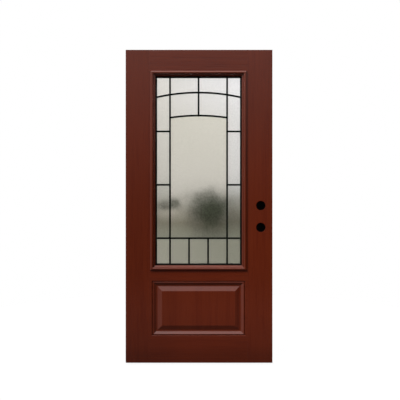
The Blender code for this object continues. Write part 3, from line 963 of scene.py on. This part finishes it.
class DOORSLAB_OT_solder(bpy.types.Operator):
    """Make the flattened solder on both sides of each joint of the cames"""

    bl_idname = "doorslab.solder"
    bl_label = "Solder Joints"

    def execute(self, context):
        leaded = context.scene.door_leaded
        material = patina("solder_patina", context.scene.door_finish.solder, 0.42)
        _, joints = came_lines()
        level = CAME_HIGH.y - leaded.solder_rise

        def points(bm):
            for x, z in joints:
                for side in (-1, 1):
                    bm.verts.new((x, side * level, z))

        solder = mesh_object("came_solder", points)
        values = {"Radius": leaded.solder_size, "Height": 2 * leaded.solder_rise}
        run_group(solder, self.tree(), {**values, "Seed": 7, "Material": material})
        outward(solder)
        solder.data.shade_smooth()
        settle(solder, "dark_came")
        return {"FINISHED"}

    def tree(self):
        """Put a lens of solder on each point, with small chances in its size."""
        inputs = (
            ("Radius", "NodeSocketFloat", 0.0066),
            ("Height", "NodeSocketFloat", 0.001),
            ("Seed", "NodeSocketInt", 7),
            ("Material", "NodeSocketMaterial", None),
        )
        tree, inlet, outlet = node_group("place_solder", inputs)
        lens = add(tree, "GeometryNodeMeshUVSphere", {"Segments": 20, "Rings": 10, "Radius": 1.0})
        values = {"Min": (0.85, 0.85, 0.85), "Max": (1.15, 1.1, 1.15), "Seed": inlet["Seed"]}
        chance = add(tree, "FunctionNodeRandomValue", values, data_type="FLOAT_VECTOR")
        values = {"X": inlet["Radius"], "Y": inlet["Height"], "Z": inlet["Radius"]}
        size = add(tree, "ShaderNodeCombineXYZ", values)
        values = {0: size.outputs[0], 1: chance.outputs["Value"]}
        scale = add(tree, "ShaderNodeVectorMath", values, operation="MULTIPLY")
        values = {"Points": inlet["Geometry"], "Instance": lens.outputs["Mesh"]}
        placed = add(tree, "GeometryNodeInstanceOnPoints", {**values, "Scale": scale.outputs[0]})
        close_group(tree, placed.outputs[0], outlet, inlet["Material"])
        return tree


ARCH_TOPPED = ("glass_field", "glass_band_left", "glass_band_right")
ARCH_TOPPED += ("glass_left_upper", "glass_right_upper")
ARCH_FOOTED = ("glass_crown_left", "glass_crown_right", "glass_band_left", "glass_band_right")
ARCH_FOOTED += ("glass_left_top", "glass_right_top")
REED_LENGTH = 12.0
BACK_SHIFT = 40.0


class DOORSLAB_OT_tiles(bpy.types.Operator):
    """Make the obscure glass tiles, with their textured surfaces"""

    bl_idname = "doorslab.tiles"
    bl_label = "Glass Tiles"

    def execute(self, context):
        leaded = context.scene.door_leaded
        field = glass_material("field_obscure", FIELD_TONES, FIELD_DRIFT, FIELD_SHADOWS)
        border = glass_material("border_obscure", BORDER_TONES, BORDER_DRIFT, BORDER_SHADOWS)
        tree = self.tree()
        names = [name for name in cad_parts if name.startswith("glass_") and "pane" not in name]
        for name in sorted(names):
            low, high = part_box(name)
            ends = abs(low.x - LITE_MIDDLE.x), abs(high.x - LITE_MIDDLE.x)
            near = 0.0 if low.x < LITE_MIDDLE.x < high.x else min(ends)
            near_drop, far_drop = arch_drop(LITE_MIDDLE.x + near), arch_drop(LITE_MIDDLE.x + max(ends))
            topped, footed = float(name in ARCH_TOPPED), float(name in ARCH_FOOTED)
            values = {
                "Left": low.x,
                "Right": high.x,
                "Bottom": low.z + footed * far_drop,
                "Top": high.z + topped * near_drop,
                "Top Arch": topped,
                "Bottom Arch": footed,
                "Middle": LITE_MIDDLE.x,
                "Radius": leaded.arch_radius,
                "Thickness": high.y - low.y,
            }
            if name == "glass_field":
                cell, relief, material = leaded.field_cell, leaded.pebble_depth, field
                across = along = leaded.pebble_size
            else:
                cell, relief, material = leaded.border_cell, leaded.reed_depth, border
                across, along = leaded.reed_size, REED_LENGTH * leaded.reed_size
            values["Columns"] = max(3, round((high.x - low.x) / cell))
            values["Rows"] = max(3, round((high.z - low.z) / cell))
            values.update({"Relief": relief, "Across": 1.0 / across, "Along": 1.0 / along})
            tile = mesh_object(f"{name}_obscure", lambda bm: bm.verts.new((0.0, 0.0, 0.0)))
            run_group(tile, tree, {**values, "Material": material})
            outward(tile)
            tile.data.shade_smooth()
            tile.data.set_sharp_from_angle(angle=TILE_SMOOTH_ANGLE)
            in_border = name.startswith(("glass_left", "glass_right", "glass_base"))
            settle(tile, "border_glass" if in_border else "field_glass", name)
        return {"FINISHED"}

    def tree(self):
        """A block of glass bent to its cell, with a relief on both faces."""
        numbers = ("Left", "Right", "Bottom", "Top", "Top Arch", "Bottom Arch", "Middle", "Radius")
        numbers += ("Thickness", "Relief", "Across", "Along")
        inputs = [(label, "NodeSocketFloat", 0.0) for label in numbers]
        inputs += [("Columns", "NodeSocketInt", 3), ("Rows", "NodeSocketInt", 3)]
        inputs.append(("Material", "NodeSocketMaterial", None))
        tree, inlet, outlet = node_group("shape_tile", inputs)
        values = {"Vertices X": inlet["Columns"], "Vertices Y": 2, "Vertices Z": inlet["Rows"]}
        block = add(tree, "GeometryNodeMeshCube", {"Size": (1, 1, 1), **values})
        given = {label: Value(inlet[label]) for label in numbers}
        across, back, up = split(tree, add(tree, "GeometryNodeInputPosition").outputs[0])
        x = (given["Right"] - given["Left"]) * (across + 0.5) + given["Left"]
        off = x - given["Middle"]
        drop = given["Radius"] - (given["Radius"] ** 2.0 - off * off).math("SQRT")
        top = given["Top"] - drop * given["Top Arch"]
        bottom = given["Bottom"] - drop * given["Bottom Arch"]
        z = (top - bottom) * (up + 0.5) + bottom
        values = {"X": x * given["Across"], "Y": back * BACK_SHIFT, "Z": z * given["Along"]}
        spot = add(tree, "ShaderNodeCombineXYZ", values).outputs[0]
        relief = noise(tree, spot, 1.0, 2.0) * given["Relief"]
        y = back * 2.0 * (given["Thickness"] * 0.5 - relief)
        target = add(tree, "ShaderNodeCombineXYZ", {"X": x, "Y": y, "Z": z})
        values = {"Geometry": block.outputs["Mesh"], "Position": target.outputs[0]}
        bent = add(tree, "GeometryNodeSetPosition", values)
        close_group(tree, bent.outputs[0], outlet, inlet["Material"])
        return tree


# Painted light and shade of what stands behind the glass: tint stops from the lite's foot to its head,
# lighter towards the top.
FIELD_TONES = (
    (0.00, (0.250, 0.243, 0.190)),
    (0.17, (0.248, 0.240, 0.184)),
    (0.22, (0.212, 0.194, 0.142)),
    (0.28, (0.350, 0.322, 0.264)),
    (0.34, (0.440, 0.416, 0.358)),
    (0.39, (0.552, 0.525, 0.465)),
    (0.48, (0.612, 0.585, 0.518)),
    (0.78, (0.655, 0.628, 0.545)),
    (0.90, (0.720, 0.695, 0.630)),
)
BORDER_TONES = (
    (0.13, (0.330, 0.320, 0.257)),
    (0.15, (0.245, 0.240, 0.186)),
    (0.23, (0.192, 0.177, 0.132)),
    (0.28, (0.325, 0.300, 0.245)),
    (0.34, (0.400, 0.382, 0.330)),
    (0.40, (0.500, 0.490, 0.440)),
    (0.48, (0.640, 0.620, 0.565)),
    (0.80, (0.760, 0.738, 0.682)),
    (1.00, (0.890, 0.872, 0.835)),
)
# Painted shade: soft dark patches in the glass tint.
FIELD_SHADOWS = (
    (0.085, -0.256, 0.163, 0.124, 0.87),
    (0.100, -0.400, 0.155, 0.077, 0.33),
    (-0.162, -0.212, 0.047, 0.036, 0.62),
)
BORDER_SHADOWS = ((0.190, -0.255, 0.085, 0.105, 0.30), (-0.220, -0.222, 0.050, 0.036, 0.45))
SHADOW_TINT = (0.02, 0.05, 0.00)
SHADOW_RAGGED = 0.5
TONE_RAGGED = 0.04
SPECK_TONES = ((0.40, 0.0), (0.60, 1.0))
SPECK_DEPTH, SPECK_DEPTH_IN_SHADOW = 0.10, 0.45
# Painted light and shade: multipliers at the left and right of the foot, the same at the head, and how
# one turns into the other.
FIELD_DRIFT = ((WHITE, WHITE), (WHITE, (1.10, 1.11, 1.13)), ((0.50, 0.0), (0.85, 1.0)))
BORDER_DRIFT = (
    (WHITE, (0.75, 0.76, 0.74)),
    ((0.88, 0.87, 0.85), (1.04, 1.05, 1.11)),
    ((0.28, 0.0), (0.41, 1.0)),
)


def glass_material(name, tones, drift, shapes):
    """Obscure glass, whose tint paints the soft light and shade of what stands behind it, with a fine
    surface.
    """
    material, tree, shader = new_material(
        name, Roughness=0.35, Transmission_Weight=0.94, IOR=1.45, Specular_IOR_Level=0.3
    )
    place = add(tree, "ShaderNodeTexCoord").outputs["Object"]
    x, _, z = split(tree, place)
    size = CAME_HIGH - CAME_LOW
    across, up = (x - CAME_LOW.x) / size.x, (z - CAME_LOW.z) / size.z
    soft = noise(tree, place, 14.0, 2.0)
    ragged = soft * TONE_RAGGED + (up - TONE_RAGGED / 2)
    # Painted light and shade: lighter towards the top, with a drift from left to right.
    foot, head = (ramp(tree, across, ((0.0, ends[0]), (1.0, ends[1]))) for ends in drift[:2])
    lean = mix(tree, ramp(tree, up, drift[2]), foot, head)
    tone = times(tree, ramp(tree, ragged, tones), lean)
    shadow = shadows(x, z, soft, shapes)
    tone = mix(tree, shadow, tone, times(tree, tone, SHADOW_TINT))
    speck = ramp(tree, noise(tree, place, 80.0, 3.0, 0.6), SPECK_TONES)
    depth = shadow * SPECK_DEPTH_IN_SHADOW + SPECK_DEPTH
    tree.links.new(mix(tree, depth, tone, speck, "MULTIPLY"), shader.inputs["Base Color"])
    fine = noise(tree, place, 320.0, 3.0, 0.6)
    bump(tree, shader, ((fine, 0.0006, 0.4),))
    return material


def shadows(x, z, soft, shapes):
    """How strongly the painted shade of the shapes (right, up, wide, high, strength) behind the glass
    darkens a point.
    """
    dark = None
    for right, up, wide, high, strength in shapes:
        across, along = (x - (LITE_MIDDLE.x + right)) / wide, (z - (LITE_MIDDLE.z + up)) / high
        reach = (across * across + along * along).math("SQRT")
        reach = (soft * SHADOW_RAGGED + (reach - SHADOW_RAGGED / 2)).over(0.0)
        inside = (-(reach ** 3.0)).math("EXPONENT") * strength
        dark = inside if dark is None else dark + inside - dark * inside
    return dark


FLOOR_TONE = (0.60, 0.60, 0.60, 1.0)
FLOOR_SIDES = 96
# A near-black card: painted shade inside the cross bores.
CARD_TONE = (0.001, 0.001, 0.001, 1.0)
CARD_SIDES = 48
CARD_REACH = 0.51


def stage_disc(name, material, radius, sides, place):
    """A flat round piece of the studio."""

    def circle(bm):
        bmesh.ops.create_circle(bm, cap_ends=True, segments=sides, radius=radius, matrix=place)

    disc = mesh_object(name, circle)
    dress(disc, material)


class DOORSLAB_OT_studio(bpy.types.Operator):
    """Set up the floor, the light and the camera"""

    bl_idname = "doorslab.studio"
    bl_label = "Studio"

    def execute(self, context):
        studio = context.scene.door_studio
        self.world(studio)
        self.lights(studio)
        self.floor(studio)
        self.bore_cards(studio)
        self.camera(studio)
        context.scene.view_settings.view_transform = "Standard"
        return {"FINISHED"}

    def world(self, studio):
        """White behind the object and its glass, and light that grows from the horizon upwards."""
        world = bpy.data.worlds.new("studio_world")
        bpy.context.scene.world = world
        world.use_nodes = True
        tree = world.node_tree
        path = add(tree, "ShaderNodeLightPath").outputs
        seen, through = Value(path["Is Camera Ray"]), Value(path["Is Transmission Ray"])
        white = seen.over(through * studio.backlight)
        hidden = -seen.over(through) + 1.0
        x, _, z = split(tree, add(tree, "ShaderNodeTexCoord").outputs["Generated"])
        sky = z.over(0.0) ** studio.sky_rise * studio.sky
        side = (-x).over(0.0) ** 2.0 * studio.side
        background = tree.nodes["Background"].inputs
        link(tree, hidden * (sky + (side + studio.horizon)) + white, background["Strength"])
        background["Color"].default_value = (*WHITE, 1.0)

    def lights(self, studio):
        """A soft sun from above and left."""
        sun = bpy.data.lights.new("soft_sun", "SUN")
        sun.energy = studio.sun
        sun.angle = math.radians(studio.sun_angle)
        lamp = bpy.data.objects.new("soft_sun", sun)
        bpy.context.scene.collection.objects.link(lamp)
        up, side = math.radians(studio.sun_elevation), math.radians(studio.sun_side)
        towards = Vector((-math.cos(up) * math.sin(side), -math.cos(up) * math.cos(side), math.sin(up)))
        lamp.rotation_euler = towards.to_track_quat("Z", "Y").to_euler()

    def floor(self, studio):
        """A plain pale floor just under the slab."""
        material, _, _ = new_material(
            "pale_floor", Roughness=0.8, Base_Color=FLOOR_TONE, Alpha=studio.floor_cover
        )
        place = Matrix.Translation((SLAB_MIDDLE.x, 0.0, LEAF_LOW.z - studio.floor_gap))
        stage_disc("studio_floor", material, studio.floor_radius, FLOOR_SIDES, place)

    def bore_cards(self, studio):
        """Dark cards in the open cross bores, a painted shade that makes the holes look dark where they
        would show the white studio behind the slab.
        """
        lock = bpy.context.scene.door_lock
        material, _, _ = new_material(
            "bore_card", Roughness=1.0, Base_Color=CARD_TONE, Specular_IOR_Level=0.0
        )
        radius = CARD_REACH * lock.cross_bore
        for name, z in zip(("latch", "deadbolt"), bore_heights()):
            spot = (LEAF_HIGH.x - lock.backset, studio.card_depth - SLAB_FACE, z)
            place = Matrix.Translation(spot) @ Matrix.Rotation(math.pi / 2, 4, "X")
            stage_disc(f"bore_card_{name}", material, radius, CARD_SIDES, place)

    def camera(self, studio):
        """Look straight at the slab's outside face."""
        camera = bpy.data.cameras.new("camera")
        camera.sensor_fit = "HORIZONTAL"
        camera.angle = 2 * math.atan(studio.view_span / 2 / studio.distance)
        thing = bpy.data.objects.new("camera", camera)
        bpy.context.scene.collection.objects.link(thing)
        aim = Vector((studio.aim_right, -SLAB_FACE - studio.distance, studio.aim_up))
        thing.location = Vector((SLAB_MIDDLE.x, 0, SLAB_MIDDLE.z)) + aim
        thing.rotation_euler = (math.pi / 2, 0.0, 0.0)
        bpy.context.scene.camera = thing


OPERATORS = (
    DOORSLAB_OT_leaf,
    DOORSLAB_OT_edges,
    DOORSLAB_OT_lite_frames,
    DOORSLAB_OT_panes,
    DOORSLAB_OT_cames,
    DOORSLAB_OT_solder,
    DOORSLAB_OT_tiles,
    DOORSLAB_OT_studio,
)


class DOORSLAB_PT_panel(bpy.types.Panel):
    """List the steps and the sizes in the sidebar"""

    bl_label = "Door Slab"
    bl_idname = "DOORSLAB_PT_panel"
    bl_space_type = "VIEW_3D"
    bl_region_type = "UI"
    bl_category = "Door Slab"

    def draw(self, context):
        for operator in OPERATORS:
            self.layout.operator(operator.bl_idname)
        for group_name in GROUPS:
            group = getattr(context.scene, group_name)
            column = self.layout.column(align=True)
            for key in group.bl_rna.properties.keys():
                if key not in ("rna_type", "name"):
                    column.prop(group, key)


def register():
    """Register the classes and put the settings on the scene."""
    for kind in (*GROUPS.values(), *OPERATORS, DOORSLAB_PT_panel):
        bpy.utils.register_class(kind)
    for name, group in GROUPS.items():
        setattr(bpy.types.Scene, name, bpy.props.PointerProperty(type=group))


def unregister():
    """Take the settings and the classes away again."""
    for name in GROUPS:
        delattr(bpy.types.Scene, name)
    for kind in (DOORSLAB_PT_panel, *reversed(OPERATORS), *GROUPS.values()):
        bpy.utils.unregister_class(kind)


def main():
    """Make every piece in order."""
    register()
    for operator in OPERATORS:
        group, name = operator.bl_idname.split(".")
        getattr(getattr(bpy.ops, group), name)()


if __name__ == "__main__":
    main()
